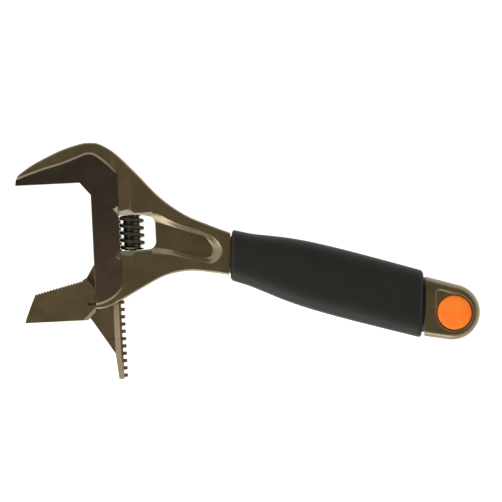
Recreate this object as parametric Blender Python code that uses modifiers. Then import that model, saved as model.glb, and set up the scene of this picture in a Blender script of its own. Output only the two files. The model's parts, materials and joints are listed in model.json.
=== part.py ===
"""Adjustable wrench with a wide, reversible jaw.

A forged body holds a jaw on a rack, a worm on a screw pin with its spring, a grip of a hard core
and a soft sleeve, and a plug of two halves in the hanging hole.

Frame: the origin is in the middle of the fixed jaw's face. +Y is the slide axis, towards the fixed
jaw, so it closes the jaws; +X runs towards the handle; +Z leaves the front face. All lengths are in
millimetres and become metres where a mesh is made.
"""
import math

import bmesh
import bpy
from mathutils import Matrix, Vector

MM = 0.001
GAP = 0.3                   # between two pieces that touch or slide
CUT = 2.0                   # how far a cutter runs past the face it opens

# Head and neck of the forging
HEAD_HALF = 6.5             # half thickness at the ground flats
NECK_HALF = 5.2             # half thickness of rim and neck
EDGE_ROUND = 0.8            # rounding of the forging's outer edges
FACE_LEFT = -14.5           # tip of the fixed jaw
FACE_RIGHT = 14.45          # where its face meets the throat
THROAT_DROP = 5.8           # height of the throat's chamfer
HEAD_LEFT = 19.3            # flat side of the head that the jaw's arm runs along
HEAD_LOW = -57.4            # lowest corner of the head
HEAD_TOP = 18.0             # highest point of the head
NECK_TOP = 9.6              # neck where it meets the grip, above and below the handle axis
NECK_LOW = -9.1
POCKET_FLOOR = 2.6          # half thickness of the web in the neck's pockets
TOP_OUTLINE = [(-13.3, 5.7), (-5.3, 10.3), (6.2, 15.0), (15.4, 17.6), (20.0, HEAD_TOP), (24.4, 17.1),
               (31.0, 12.8), (39.6, 3.9), (50.4, -8.2), (61.3, -16.6), (72.3, -21.9)]
LOW_OUTLINE = [(73.0, -43.6), (62.2, -42.2), (51.3, -43.8), (40.2, -49.0), (28.6, -55.1),
               (23.6, -57.1)]
FLAT_EDGE = [(-16.5, 3.2), (-8.3, 5.0), (14.7, 12.1), (19.7, 13.2), (23.3, 11.7), (31.0, 5.1), (31.0, -48.8),
             (28.7, -51.3), (26.0, -53.1), (22.6, -54.4), (17.3, -55.3)]
POCKET_RIM = [(54.3, -19.6), (70.6, -25.8), (77.0, -30.7), (77.4, -34.7), (73.9, -39.2),
              (52.9, -34.2)]
POCKET_BED = [(54.3, -21.0), (69.8, -27.1), (72.2, -29.5), (72.6, -34.0), (71.5, -36.6),
              (52.9, -31.8)]

# Rack and jaw
RACK_PITCH = 3.3
RACK_TIP = 32.0             # X of the tooth tips
TOOTH_DEPTH = 1.65
TOOTH_SPACE = 1.75
RACK_TEETH = 22
RACK_BACK = 26.9            # X of the column's back, where the web joins it
RACK_HALF = 3.6             # half thickness of the column
RACK_END = -89.4            # Y of the column's lower end
RACK_TAPER = 11.4           # length over which each end of the column narrows
RACK_NARROW = 1.1
COLUMN_SLOPE = 1.6          # run of the column's flank for each unit of its rise
WEB_HALF = 2.0
ARM_HALF = 6.0
ARM_TIP = (-7.8, -49.2)     # outer end of the serrated face
ARM_ROOT = (13.7, -44.1)    # inner end of the serrated face
ARM_CORNER = (15.2, -43.1)
ARM_HEEL = -56.4            # where the arm's side meets its lower chamfer
SMOOTH_FACE = -62.15        # Y of the jaw's smooth face
ARM_NOSE = [(13.1, SMOOTH_FACE), (-13.1, SMOOTH_FACE), (-12.2, -59.4), (-10.5, -55.4)]
SERRATIONS = 16
SERRATION_DEPTH = 0.5
WEB_HEEL = (17.3, -62.8)    # start of the web's lower slanted edge
WEB_INSIDE = (15.2, -60.0)  # web's corner inside the arm
WEB_RUN = 9.6               # the web's slanted edges rise WEB_RISE over this
WEB_RISE = 15.1
CLOSING = 40.0              # travel of the jaw from rest towards the fixed jaw

# Worm, its window, its pin and its spring
WORM_RADIUS = 5.56
THREAD_DEPTH = 1.8
WORM_LENGTH = 15.8
WORM_MID = -23.6            # Y of the worm's middle
MESH_DEPTH = 0.66           # how far the thread reaches into the rack
THREAD_PLAY = 0.43          # between the thread's crest and the teeth, each side
THREAD_FLANK = 0.33         # width of the thread's slope from root to crest
THUMB_SPACE = 5.54          # open space beside the worm
WINDOW_CORNER = 3.6
PIN_RADIUS = 1.5
PIN_HEAD_RADIUS = 2.3
PIN_HEAD_TOP = -45.7
PIN_HEAD_END = -48.9
PIN_SEAT = 4.0              # length of the pin above the window
DRIVER_SLOT = 0.8
SPRING_WIRE = 0.25          # radius
SPRING_POCKET = 4.0         # depth of the worm's counterbore
SPRING_WALL = 0.65          # metal left between counterbore and thread root
SPRING_TURNS = 3

# Handle: a straight axis, slanted ends, a grip and a rounded metal end
HANDLE_ANGLE = math.radians(-17.34)
AXIS_OFFSET = -10.0         # handle axis from the frame's origin, square to it
END_SLANT = math.radians(12.8)
GRIP_START = 88.2
GRIP_LENGTH = 89.2
CORE_SHOWS = (0.3, 1.1)     # how far the core stands out of the sleeve, head end and far end
SLEEVE_WALL = 2.4
GRIP_SQUARE = 2.7           # exponent of the grip's rounded section
# share of the grip's length, half width, half thickness
GRIP_SECTIONS = [(0.0, 11.2, 7.6), (0.1, 11.6, 8.0), (0.19, 12.7, 8.5), (0.3, 14.0, 8.8),
                 (0.43, 14.8, 9.0), (0.64, 15.1, 9.0), (1.0, 14.8, 8.6)]
TANG_HALF_WIDTH = 8.0
TANG_HALF = 4.2
TANG_SQUARE = 5.0
END_RADIUS = 12.6
END_HALF = 6.5
END_REACH = 12.5            # from the grip's far gap to the centre of the rounded end
PLUG_RADIUS = 7.8
PLUG_AHEAD = 1.0            # plug centre past the centre of the rounded end
PLUG_DEPTH = 2.4            # thickness of the plug's disc
PLUG_PROUD = 0.5
PLUG_STEM = 4.6
RECESS_DEPTH = 0.8
RECESS_RIM = 1.4            # recess floor showing round the plug

# Values that follow
RACK_TOP = RACK_END + RACK_TEETH * RACK_PITCH
WORM_X = RACK_TIP - MESH_DEPTH + WORM_RADIUS
WORM_ROOT = WORM_RADIUS - THREAD_DEPTH
WORM_TOP = WORM_MID + WORM_LENGTH / 2
WORM_LOW = WORM_MID - WORM_LENGTH / 2
WINDOW_TOP = WORM_TOP + GAP
WINDOW_LOW = WORM_LOW - GAP
WINDOW_LEFT = RACK_TIP - TOOTH_DEPTH
PIN_TIP = WINDOW_TOP + PIN_SEAT
WINDOW_RIGHT = WORM_X + WORM_RADIUS + THUMB_SPACE
GRIP_END = GRIP_START + GRIP_LENGTH
NECK_END = GRIP_START - CORE_SHOWS[0] - GAP
END_START = GRIP_END + CORE_SHOWS[1] + GAP
END_CENTRE = END_START + END_REACH
PLUG_CENTRE = END_CENTRE + PLUG_AHEAD

part = bpy.data.collections.new("adjustable_wrench")
cutters = bpy.data.collections.new("cutters")


def clear_scene():
    for item in list(bpy.data.objects):
        bpy.data.objects.remove(item)
    for collection in (part, cutters):
        bpy.context.scene.collection.children.link(collection)


def finish(name, colour, roughness, metallic):
    """A Principled material."""
    material = bpy.data.materials.new(name)
    material.use_nodes = True
    shader = material.node_tree.nodes["Principled BSDF"]
    shader.inputs["Base Color"].default_value = (*colour, 1.0)
    shader.inputs["Roughness"].default_value = roughness
    shader.inputs["Metallic"].default_value = metallic
    return material


def add_object(name, mesh, collection, material=None):
    """Object of a mesh; a cutter shows only as wire and stays out of renders."""
    item = bpy.data.objects.new(name, mesh)
    collection.objects.link(item)
    if material:
        mesh.materials.append(material)
        mesh.shade_smooth()
        mesh.set_sharp_from_angle(angle=math.radians(35))
    if collection == cutters:
        item.hide_render = True
        item.display_type = "WIRE"
    return item


def curve_mesh(name, curve):
    """Closed mesh of a curve, with its loose caps welded on."""
    guide = bpy.data.objects.new(name, curve)
    cutters.objects.link(guide)
    depsgraph = bpy.context.evaluated_depsgraph_get()
    mesh = bpy.data.meshes.new_from_object(guide.evaluated_get(depsgraph))
    bpy.data.objects.remove(guide)
    shape = bmesh.new()
    shape.from_mesh(mesh)
    bmesh.ops.remove_doubles(shape, verts=shape.verts, dist=1e-6)
    bmesh.ops.dissolve_limit(shape, angle_limit=0.001, verts=shape.verts, edges=shape.edges)
    bmesh.ops.recalc_face_normals(shape, faces=shape.faces)
    shape.to_mesh(mesh)
    shape.free()
    mesh.name = name
    return mesh


def plate(name, outline, low, high):
    """Mesh of a flat outline that stands from z = low to z = high."""
    curve = bpy.data.curves.new(name, "CURVE")
    curve.dimensions = "2D"
    curve.fill_mode = "BOTH"
    curve.extrude = (high - low) / 2 * MM
    spline = curve.splines.new("POLY")
    spline.points.add(len(outline) - 1)
    for point, (x, y) in zip(spline.points, outline):
        point.co = (x * MM, y * MM, 0, 1)
    spline.use_cyclic_u = True
    mesh = curve_mesh(name, curve)
    mesh.transform(Matrix.Translation((0, 0, (high + low) / 2 * MM)))
    return mesh


def loft(name, rings, closed=False):
    """Mesh through rings of equal point count; closed joins the last ring to the first."""
    shape = bmesh.new()
    rows = [[shape.verts.new(Vector(point) * MM) for point in ring] for ring in rings]
    count = len(rows[0])
    joins = list(zip(rows, rows[1:]))
    if closed:
        joins.append((rows[-1], rows[0]))
    else:
        shape.faces.new(rows[0])
        shape.faces.new(rows[-1])
    for row, after in joins:
        for k in range(count):
            turn = (k + 1) % count
            shape.faces.new((row[k], row[turn], after[turn], after[k]))
    bmesh.ops.recalc_face_normals(shape, faces=shape.faces)
    mesh = bpy.data.meshes.new(name)
    shape.to_mesh(mesh)
    shape.free()
    return mesh


def turned(name, profile, steps=24):
    """Object of a profile of (radius, height) turned about Z, given from top to bottom."""
    shape = bmesh.new()
    points = [shape.verts.new((radius * MM, 0, height * MM)) for radius, height in profile]
    for above, below in zip(points, points[1:]):
        shape.edges.new((above, below))
    mesh = bpy.data.meshes.new(name)
    shape.to_mesh(mesh)
    shape.free()
    item = bpy.data.objects.new(name, mesh)
    cutters.objects.link(item)
    screw = item.modifiers.new("turn", "SCREW")
    screw.axis = "Z"
    screw.steps = steps
    screw.render_steps = steps
    screw.use_merge_vertices = True
    screw.merge_threshold = 0.00001
    depsgraph = bpy.context.evaluated_depsgraph_get()
    result = bpy.data.meshes.new_from_object(item.evaluated_get(depsgraph))
    bpy.data.objects.remove(item)
    result.name = name
    return result


def box(name, low, high):
    """Mesh of a box between two corners."""
    shape = bmesh.new()
    bmesh.ops.create_cube(shape, size=1.0)
    size = [(b - a) * MM for a, b in zip(low, high)]
    middle = [(a + b) / 2 * MM for a, b in zip(low, high)]
    bmesh.ops.scale(shape, vec=size, verts=shape.verts)
    bmesh.ops.translate(shape, vec=middle, verts=shape.verts)
    mesh = bpy.data.meshes.new(name)
    shape.to_mesh(mesh)
    shape.free()
    return mesh


def combine(item, tool, operation):
    """Boolean of an object with a tool from the cutters' collection."""
    modifier = item.modifiers.new(tool.name, "BOOLEAN")
    modifier.operation = operation
    modifier.solver = "EXACT"
    modifier.object = tool


def cut(item, name, mesh):
    combine(item, add_object(name, mesh, cutters), "DIFFERENCE")


def add(item, name, mesh):
    combine(item, add_object(name, mesh, cutters), "UNION")


def round_edges(mesh, width):
    """Bevel of the mesh's sharp edges."""
    shape = bmesh.new()
    shape.from_mesh(mesh)
    sharp = [edge for edge in shape.edges if edge.calc_face_angle(0) > math.radians(50)]
    bmesh.ops.bevel(shape, geom=sharp, offset=width * MM, offset_type="OFFSET", segments=1,
                    profile=0.5, affect="EDGES", material=-1)
    bmesh.ops.recalc_face_normals(shape, faces=shape.faces)
    shape.to_mesh(mesh)
    shape.free()
    return mesh


def smooth_line(points, steps=2):
    """Points of a curve that passes through the given points."""
    line = []
    last = len(points) - 1
    for k in range(last):
        near = [Vector(points[min(max(k + j, 0), last)]) for j in (-1, 0, 1, 2)]
        for step in range(steps):
            t = step / steps
            line.append(0.5 * ((2 * near[1]) + (near[2] - near[0]) * t
                               + (2 * near[0] - 5 * near[1] + 4 * near[2] - near[3]) * t ** 2
                               + (3 * near[1] - near[0] - 3 * near[2] + near[3]) * t ** 3))
    line.append(Vector(points[last]))
    return [tuple(point) for point in line]


def arc(centre, radius, start, stop, steps):
    """Points of an arc, angles in degrees."""
    angles = [math.radians(start + (stop - start) * k / steps) for k in range(steps + 1)]
    return [(centre[0] + radius * math.cos(a), centre[1] + radius * math.sin(a)) for a in angles]


def on_handle(along, aside):
    """Point in XY from its place along the handle axis and aside from it."""
    c = math.cos(HANDLE_ANGLE)
    s = math.sin(HANDLE_ANGLE)
    square = AXIS_OFFSET + aside
    return (along * c - square * s, along * s + square * c)


def on_slant(along, aside):
    """Point in XY on a line across the handle, slanted as the grip's ends are."""
    return on_handle(along - aside * math.tan(END_SLANT), aside)


def oval(along, half_width, half_thick, square, points=20):
    """Rounded section across the handle, slanted as the grip's ends are."""
    ring = []
    for k in range(points):
        angle = 2 * math.pi * (k + 0.5) / points
        c = math.cos(angle)
        s = math.sin(angle)
        aside = half_width * math.copysign(abs(c) ** (2 / square), c)
        ring.append((*on_slant(along, aside), half_thick * math.copysign(abs(s) ** (2 / square), s)))
    return ring


def head_outline():
    """Outline of fixed jaw, head and neck, up to the grip."""
    neck_top = on_slant(NECK_END, NECK_TOP)
    neck_low = on_slant(NECK_END, NECK_LOW)
    outline = [(FACE_LEFT, 0), (FACE_LEFT + 0.3, 4.0)]
    outline += smooth_line(TOP_OUTLINE + [neck_top])
    outline += smooth_line([neck_low] + LOW_OUTLINE)
    outline += [(HEAD_LEFT, HEAD_LOW), (HEAD_LEFT, -THROAT_DROP), (FACE_RIGHT, 0)]
    return outline


def column_section(y, back, grow=0.0):
    """Section of the rack's column at y: narrow where the web joins, full at the teeth."""
    shoulder = back + (RACK_HALF - WEB_HALF) * COLUMN_SLOPE
    half = RACK_HALF + grow
    waist = WEB_HALF + grow
    left = back - grow
    right = RACK_TIP + grow
    return [(left, y, waist), (shoulder - grow / 2, y, half), (right, y, half),
            (right, y, -half), (shoulder - grow / 2, y, -half), (left, y, -waist)]


def web_edge(start, away):
    """End of a slanted web edge that starts at a point and reaches the column."""
    run = RACK_BACK + 0.5 - start[0]
    return (start[0] + run, start[1] + away * run * WEB_RISE / WEB_RUN)


def make_body(steel):
    mesh = round_edges(plate("body_forging", head_outline(), -HEAD_HALF, HEAD_HALF), EDGE_ROUND)
    body = add_object("body_forging", mesh, part, steel)
    left, right = FLAT_EDGE[0][0], on_handle(GRIP_END, 0)[0]
    low, high = HEAD_LOW - CUT, HEAD_TOP + CUT
    outside = FLAT_EDGE + [(FLAT_EDGE[-1][0], low), (right, low), (right, high), (left, high)]
    cut(body, "rim_front", plate("rim_front", outside, NECK_HALF, HEAD_HALF + CUT))
    cut(body, "rim_back", plate("rim_back", outside, -HEAD_HALF - CUT, -NECK_HALF))
    add_handle_metal(body)
    cut_window(body)
    cut_rack_way(body)
    cut_pin_hole(body)
    cut_plug_seat(body)
    return body


def add_handle_metal(body):
    """Tang inside the grip and the rounded end of the handle."""
    sections = [(NECK_END - CUT, TANG_HALF_WIDTH, TANG_HALF),
                (END_START + CUT, TANG_HALF_WIDTH, TANG_HALF)]
    add(body, "tang", loft("tang", [oval(*section, TANG_SQUARE) for section in sections]))
    top = on_slant(END_START, END_RADIUS)
    low = on_slant(END_START, -END_RADIUS - 1.0)
    centre = on_handle(END_CENTRE, 0)
    turn = math.degrees(HANDLE_ANGLE)
    outline = [top] + arc(centre, END_RADIUS, turn + 90, turn - 80, 14) + [low]
    add(body, "handle_end", round_edges(plate("handle_end", outline, -END_HALF, END_HALF), 1.0))


def cut_window(body):
    """Worm window and the pockets behind it on both faces."""
    corner = WINDOW_CORNER
    right = WINDOW_RIGHT - corner
    outline = arc((right, WINDOW_TOP - corner), corner, 90, 0, 3)
    outline += arc((right, WINDOW_LOW + corner), corner, 0, -90, 3)
    outline += [(WINDOW_LEFT, WINDOW_LOW), (WINDOW_LEFT, WINDOW_TOP)]
    cut(body, "window", plate("window", outline, -HEAD_HALF - CUT, HEAD_HALF + CUT))
    start = WINDOW_RIGHT - corner / 2
    rim = [(start, WINDOW_TOP)] + POCKET_RIM + [(start, WINDOW_LOW)]
    bed = [(start, WINDOW_TOP - 0.8)] + POCKET_BED + [(start, WINDOW_LOW + 0.8)]
    for side, name in ((1, "pocket_front"), (-1, "pocket_back")):
        rings = [[(x, y, side * POCKET_FLOOR) for x, y in bed],
                 [(x, y, side * NECK_HALF) for x, y in rim],
                 [(x, y, side * (HEAD_HALF + CUT)) for x, y in rim]]
        cut(body, name, loft(name, rings))


def cut_rack_way(body):
    """Channel for the rack's column and slot for the web, with the web's way into the throat."""
    ways = [column_section(y, RACK_BACK, GAP) for y in (HEAD_LOW - CUT, HEAD_TOP + CUT)]
    cut(body, "rack_channel", loft("rack_channel", ways))
    reach = (ARM_CORNER[0] - 1.0, ARM_CORNER[1] + CLOSING + GAP)
    inner = web_edge(reach, 1)
    slot = [(reach[0], HEAD_LOW - CUT), reach, (inner[0], inner[1]),
            (inner[0], HEAD_LOW - CUT)]
    half = WEB_HALF + GAP
    cut(body, "web_slot", plate("web_slot", slot, -half, half))


def cut_pin_hole(body):
    """Stepped hole for the pin, from the head's lower edge up past the window."""
    bore = PIN_RADIUS + GAP
    head = PIN_HEAD_RADIUS + GAP
    low = HEAD_LOW
    profile = [(0, PIN_TIP + GAP), (bore, PIN_TIP + GAP), (bore, PIN_HEAD_TOP + GAP),
               (head, PIN_HEAD_TOP + GAP), (head, low), (0, low)]
    mesh = turned("pin_hole", profile)
    mesh.transform(worm_axis())
    cut(body, "pin_hole", mesh)


def cut_plug_seat(body):
    """Round seat through the handle's end, in a shallow recess on both faces."""
    centre = on_handle(PLUG_CENTRE, 0)
    turn = math.degrees(HANDLE_ANGLE)
    rim = PLUG_RADIUS + RECESS_RIM
    outline = arc(centre, rim, turn + 100, turn - 120, 14)
    outline += [on_handle(PLUG_CENTRE - rim, -rim * 0.55), on_handle(PLUG_CENTRE - rim, rim * 0.88)]
    floor = END_HALF - RECESS_DEPTH
    cut(body, "recess_front", plate("recess_front", outline, floor, END_HALF + CUT))
    cut(body, "recess_back", plate("recess_back", outline, -END_HALF - CUT, -floor))
    seat = PLUG_RADIUS + GAP
    stem = PLUG_STEM + GAP
    step = floor + PLUG_PROUD - PLUG_DEPTH - GAP
    top = END_HALF + CUT
    profile = [(0, top), (seat, top), (seat, step), (stem, step), (stem, -step), (seat, -step),
               (seat, -top), (0, -top)]
    mesh = turned("plug_seat", profile)
    mesh.transform(Matrix.Translation((centre[0] * MM, centre[1] * MM, 0)))
    cut(body, "plug_seat", mesh)


def worm_axis():
    """Placement that turns a shape's Z onto the worm's axis along Y."""
    return Matrix.Translation((WORM_X * MM, 0, 0)) @ Matrix.Rotation(math.radians(-90), 4, "X")


def arm_outline():
    """Outline of the jaw's arm, with its serrated face towards the fixed jaw."""
    tip = Vector(ARM_TIP)
    root = Vector(ARM_ROOT)
    step = (root - tip) / SERRATIONS
    dip = Vector((step.y, -step.x)).normalized() * SERRATION_DEPTH
    outline = []
    for k in range(SERRATIONS):
        outline.append(tuple(tip + step * k))
        outline.append(tuple(tip + step * (k + 0.5) + dip))
    side = HEAD_LEFT - GAP
    drop = (side - ARM_CORNER[0]) * THROAT_DROP / (HEAD_LEFT - FACE_RIGHT)
    outline += [ARM_ROOT, ARM_CORNER, (side, ARM_CORNER[1] - drop), (side, ARM_HEEL)]
    return outline + ARM_NOSE


def make_jaw(steel):
    """Arm, web and toothed column of the reversible jaw."""
    low = RACK_END + RACK_TAPER
    high = RACK_TOP - RACK_TAPER
    narrow = RACK_BACK + RACK_NARROW
    rings = [column_section(RACK_END, narrow), column_section(low, RACK_BACK),
             column_section(high, RACK_BACK), column_section(RACK_TOP, narrow)]
    jaw = add_object("reversible_jaw", loft("reversible_jaw", rings), part, steel)
    root = RACK_TIP - TOOTH_DEPTH
    for k in range(RACK_TEETH + 1):
        middle = RACK_END + k * RACK_PITCH
        low_corner = (root, middle - TOOTH_SPACE / 2, -RACK_HALF - CUT)
        high_corner = (RACK_TIP + CUT, middle + TOOTH_SPACE / 2, RACK_HALF + CUT)
        name = f"tooth_space_{k}"
        cut(jaw, name, box(name, low_corner, high_corner))
    web = [(ARM_CORNER[0], ARM_CORNER[1] - GAP), web_edge(ARM_CORNER, 1), web_edge(WEB_HEEL, -1),
           WEB_HEEL, WEB_INSIDE]
    add(jaw, "web", plate("web", web, -WEB_HALF, WEB_HALF))
    add(jaw, "arm", plate("arm", arm_outline(), -ARM_HALF, ARM_HALF))
    return jaw


def thread_radius(turn, height, phase):
    """Radius of the worm's thread at a share of a turn and a height along the axis."""
    share = (height / RACK_PITCH - turn - phase) % 1.0
    away = min(share, 1.0 - share) * RACK_PITCH
    rise = (TOOTH_SPACE / 2 - THREAD_PLAY + THREAD_FLANK - away) / THREAD_FLANK
    return WORM_ROOT + THREAD_DEPTH * min(max(rise, 0.0), 1.0)


def worm_ring(height, radius_at, points=24):
    """Ring about the worm's axis, in the worm's own frame with the axis along Y."""
    ring = []
    for k in range(points):
        angle = 2 * math.pi * k / points
        radius = radius_at(k / points)
        ring.append((radius * math.cos(angle), height, radius * math.sin(angle)))
    return ring


def make_worm(steel):
    """Worm with its thread in the rack's tooth spaces, a bore and a counterbore for the spring."""
    steps = round(WORM_LENGTH / RACK_PITCH * 10)
    phase = (RACK_END - WORM_MID) / RACK_PITCH - 0.5
    half = WORM_LENGTH / 2
    rings = []
    for k in range(steps + 1):
        height = half - WORM_LENGTH * k / steps
        rings.append(worm_ring(height, lambda turn: thread_radius(turn, height, phase)))
    bore = PIN_RADIUS + GAP
    pocket = WORM_ROOT - SPRING_WALL
    floor = SPRING_POCKET - half
    for height, radius in ((-half, pocket), (floor, pocket), (floor, bore), (half, bore)):
        rings.append(worm_ring(height, lambda turn: radius))
    worm = add_object("worm", loft("worm", rings, closed=True), part, steel)
    worm.location = (WORM_X * MM, WORM_MID * MM, 0)
    return worm


def make_pin(steel):
    """Screw pin that the worm turns on, with a driver slot in its head."""
    chamfer = 0.4
    profile = [(0, PIN_TIP), (PIN_RADIUS - chamfer, PIN_TIP), (PIN_RADIUS, PIN_TIP - chamfer),
               (PIN_RADIUS, PIN_HEAD_TOP), (PIN_HEAD_RADIUS, PIN_HEAD_TOP),
               (PIN_HEAD_RADIUS, PIN_HEAD_END), (0, PIN_HEAD_END)]
    mesh = turned("worm_pin", profile)
    mesh.transform(Matrix.Rotation(math.radians(-90), 4, "X"))
    pin = add_object("worm_pin", mesh, part, steel)
    pin.location = (WORM_X * MM, 0, 0)
    half = DRIVER_SLOT / 2
    wide = PIN_HEAD_RADIUS + CUT
    low = (WORM_X - wide, PIN_HEAD_END - CUT, -half)
    high = (WORM_X + wide, PIN_HEAD_END + 1.2, half)
    cut(pin, "driver_slot", box("driver_slot", low, high))
    return pin


def make_spring(steel):
    """Compression spring round the pin, in the worm's counterbore."""
    radius = (WORM_ROOT - SPRING_WALL + PIN_RADIUS) / 2
    low = WORM_LOW + SPRING_WIRE
    high = WORM_LOW + SPRING_POCKET - GAP - SPRING_WIRE
    curve = bpy.data.curves.new("worm_spring", "CURVE")
    curve.dimensions = "3D"
    curve.bevel_depth = SPRING_WIRE * MM
    curve.bevel_resolution = 2
    curve.use_fill_caps = True
    spline = curve.splines.new("POLY")
    points = SPRING_TURNS * 14
    spline.points.add(points)
    for k, point in enumerate(spline.points):
        angle = 2 * math.pi * SPRING_TURNS * k / points
        height = low + (high - low) * k / points
        point.co = (radius * math.cos(angle) * MM, height * MM, radius * math.sin(angle) * MM, 1)
    spring = add_object("worm_spring", curve_mesh("worm_spring", curve), part, steel)
    spring.location = (WORM_X * MM, 0, 0)
    return spring


def grip_rings(less, first, last):
    """Sections of the grip, thinner by less, from first to last along the handle."""
    rings = []
    for share, half_width, half_thick in GRIP_SECTIONS:
        along = first + (last - first) * share
        rings.append(oval(along, half_width - less, half_thick - less, GRIP_SQUARE))
    return rings


def make_grip(hard, soft):
    """Hard core over the tang and soft sleeve over the core."""
    outer = grip_rings(0, GRIP_START, GRIP_END)
    inner = grip_rings(SLEEVE_WALL, GRIP_START, GRIP_END)
    sleeve = add_object("grip_sleeve", loft("grip_sleeve", outer + inner[::-1], closed=True), part, soft)
    first = GRIP_START - CORE_SHOWS[0]
    last = GRIP_END + CORE_SHOWS[1]
    body = grip_rings(SLEEVE_WALL + GAP, first, last)
    places = [first + (last - first) * share for share, _, _ in GRIP_SECTIONS]
    way = [oval(along, TANG_HALF_WIDTH + GAP, TANG_HALF + GAP, TANG_SQUARE) for along in places]
    core = add_object("grip_core", loft("grip_core", body + way[::-1], closed=True), part, hard)
    return core, sleeve


def make_plug(name, side, plastic):
    """Half of the plug: a disc in its seat with a stem that meets the other half's."""
    top = END_HALF - RECESS_DEPTH + PLUG_PROUD
    step = top - PLUG_DEPTH
    chamfer = 0.4
    profile = [(0, top), (PLUG_RADIUS - chamfer, top), (PLUG_RADIUS, top - chamfer),
               (PLUG_RADIUS, step), (PLUG_STEM, step), (PLUG_STEM, GAP / 2), (0, GAP / 2)]
    mesh = turned(name, profile, 36)
    plug = add_object(name, mesh, part, plastic)
    x, y = on_handle(PLUG_CENTRE, 0)
    plug.location = (x * MM, y * MM, 0)
    plug.rotation_euler = (0 if side > 0 else math.pi, 0, 0)
    return plug


def main():
    clear_scene()
    forged = finish("phosphated_steel", (0.075, 0.055, 0.027), 0.38, 0.9)
    jaw_steel = finish("phosphated_jaw_steel", (0.085, 0.062, 0.034), 0.4, 0.9)
    worm_steel = finish("blackened_steel", (0.02, 0.014, 0.01), 0.4, 0.9)
    bright = finish("plain_steel", (0.4, 0.39, 0.37), 0.35, 1.0)
    hard = finish("hard_plastic", (0.012, 0.012, 0.011), 0.5, 0.0)
    soft = finish("soft_rubber", (0.022, 0.021, 0.018), 0.6, 0.0)
    orange = finish("orange_plastic", (1.0, 0.22, 0.02), 0.4, 0.0)
    pieces = [make_body(forged), make_jaw(jaw_steel), make_worm(worm_steel), make_pin(bright),
              make_spring(bright), *make_grip(hard, soft), make_plug("plug_front", 1, orange),
              make_plug("plug_back", -1, orange)]
    wrench = bpy.data.objects.new("wrench", None)
    part.objects.link(wrench)
    for piece in pieces:
        piece.parent = wrench
    bpy.context.view_layer.update()


main()
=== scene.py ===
import json
import math

import bmesh
import bpy
from mathutils import Matrix, Vector


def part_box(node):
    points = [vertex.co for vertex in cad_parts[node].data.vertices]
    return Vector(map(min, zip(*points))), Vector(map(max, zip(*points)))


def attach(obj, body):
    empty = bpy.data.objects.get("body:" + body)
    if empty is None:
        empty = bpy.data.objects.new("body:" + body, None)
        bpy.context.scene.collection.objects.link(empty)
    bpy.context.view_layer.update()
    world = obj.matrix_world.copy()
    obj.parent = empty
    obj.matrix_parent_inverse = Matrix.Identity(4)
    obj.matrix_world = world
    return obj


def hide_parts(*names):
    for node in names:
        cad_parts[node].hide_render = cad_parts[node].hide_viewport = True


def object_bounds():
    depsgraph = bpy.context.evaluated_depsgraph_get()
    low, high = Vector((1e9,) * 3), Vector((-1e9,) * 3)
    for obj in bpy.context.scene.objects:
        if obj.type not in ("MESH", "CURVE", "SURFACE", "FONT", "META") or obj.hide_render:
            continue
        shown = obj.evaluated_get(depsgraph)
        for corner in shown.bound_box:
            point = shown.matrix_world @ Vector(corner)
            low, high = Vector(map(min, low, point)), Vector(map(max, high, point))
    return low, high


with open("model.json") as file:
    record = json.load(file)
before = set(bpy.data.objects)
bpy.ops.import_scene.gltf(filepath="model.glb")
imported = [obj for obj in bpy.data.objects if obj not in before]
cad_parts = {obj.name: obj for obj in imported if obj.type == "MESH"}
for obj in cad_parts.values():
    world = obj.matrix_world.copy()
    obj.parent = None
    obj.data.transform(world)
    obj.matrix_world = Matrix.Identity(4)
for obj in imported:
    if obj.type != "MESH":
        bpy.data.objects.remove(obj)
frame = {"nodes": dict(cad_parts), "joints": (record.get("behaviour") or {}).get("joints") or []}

CAD_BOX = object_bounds()

# Lengths are in millimetres, in the frame of the CAD model, until a mesh is finished.
# +Y closes the jaws, +X runs towards the handle, +Z leaves the front face.
MM = 0.001
GAP = 0.3                   # clearance between neighbouring pieces


def middle_of(name):
    """Middle of a CAD node's box, in millimetres."""
    low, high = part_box(name)
    return (low + high) / 2 / MM


def reach_of(name):
    """Lowest and highest corner of a CAD node, in millimetres."""
    low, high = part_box(name)
    return low / MM, high / MM


# ------------------------------------------------------------------ sizes
BODY_LOW, BODY_HIGH = reach_of("body_forging")
JAW_LOW, JAW_HIGH = reach_of("reversible_jaw")
WORM_LOW, WORM_HIGH = reach_of("worm")
WORM_MID = middle_of("worm")
WORM_RADIUS = (WORM_HIGH.x - WORM_LOW.x) / 2
PIN_LOW, PIN_HIGH = reach_of("worm_pin")
PIN_HEAD_BORE = (PIN_HIGH.x - PIN_LOW.x) / 2 + GAP
PIN_HEAD_HEIGHT = 3.2
PIN_HEAD_TOP = PIN_LOW.y + PIN_HEAD_HEIGHT
PIN_BORE = 1.8              # radius of the hole for the pin
PLUG_LOW, PLUG_HIGH = reach_of("plug_front")
PLUG_RADIUS = (PLUG_HIGH.x - PLUG_LOW.x) / 2

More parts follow.
